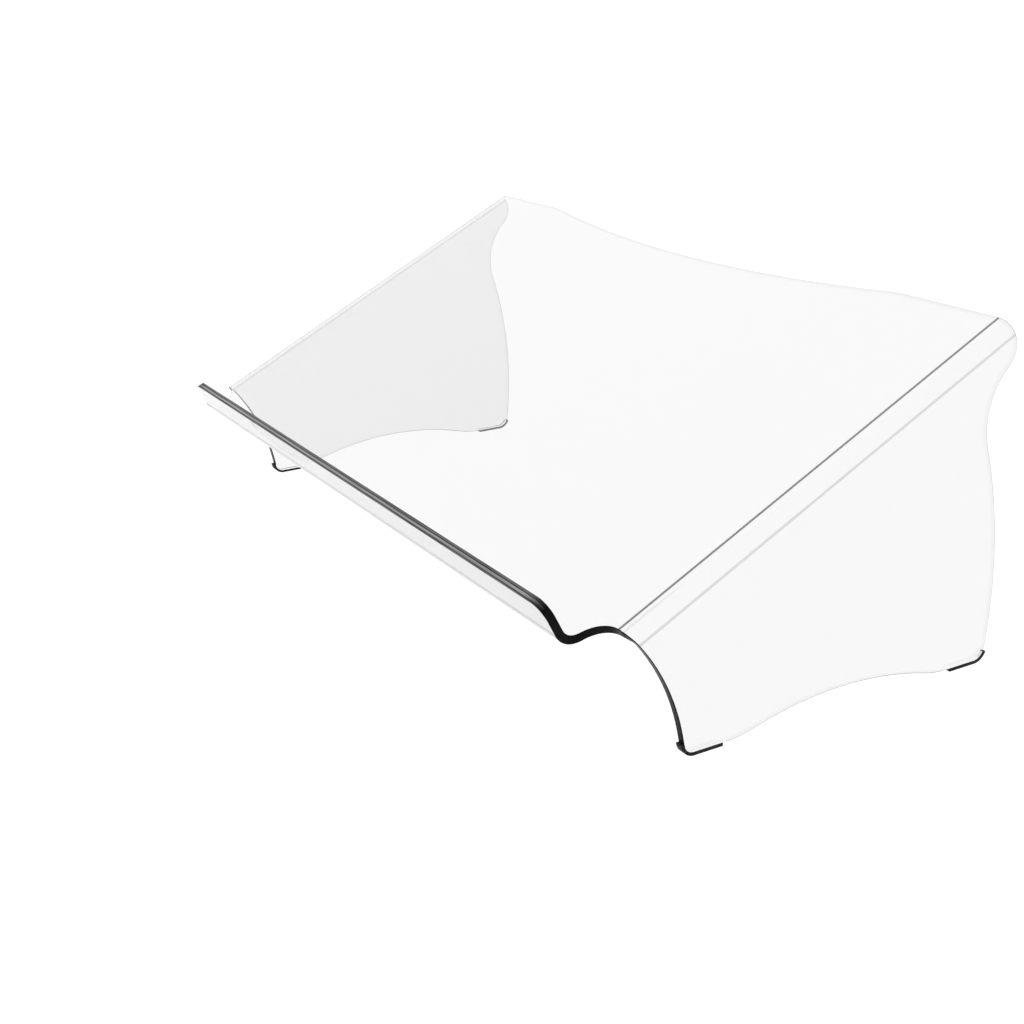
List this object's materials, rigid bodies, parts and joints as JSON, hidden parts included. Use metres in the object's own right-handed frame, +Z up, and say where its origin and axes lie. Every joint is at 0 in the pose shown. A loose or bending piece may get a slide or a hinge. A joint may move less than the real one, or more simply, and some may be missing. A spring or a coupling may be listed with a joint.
{
  "type": "document stand",
  "caption": "Low sloping stand of bent clear acrylic with a front lip and rubber-shod legs, for papers, a book or a tablet between keyboard and screen.",
  "frame": {"origin": "on the desk, under the centre of the stand's bounding box", "axes": "+X to the user's right along the lip, +Y away from the user, +Z up"},
  "size_m": [0.5068, 0.2654, 0.186],
  "materials": {
    "clear_acrylic": "polished transparent acrylic",
    "black_rubber": "matte moulded rubber"
  },
  "bodies": {
    "root": {"acrylic_body": "clear_acrylic", "foot_front_left": "black_rubber", "foot_front_right": "black_rubber", "foot_rear_left": "black_rubber", "foot_rear_right": "black_rubber"}
  },
  "joints": []
}
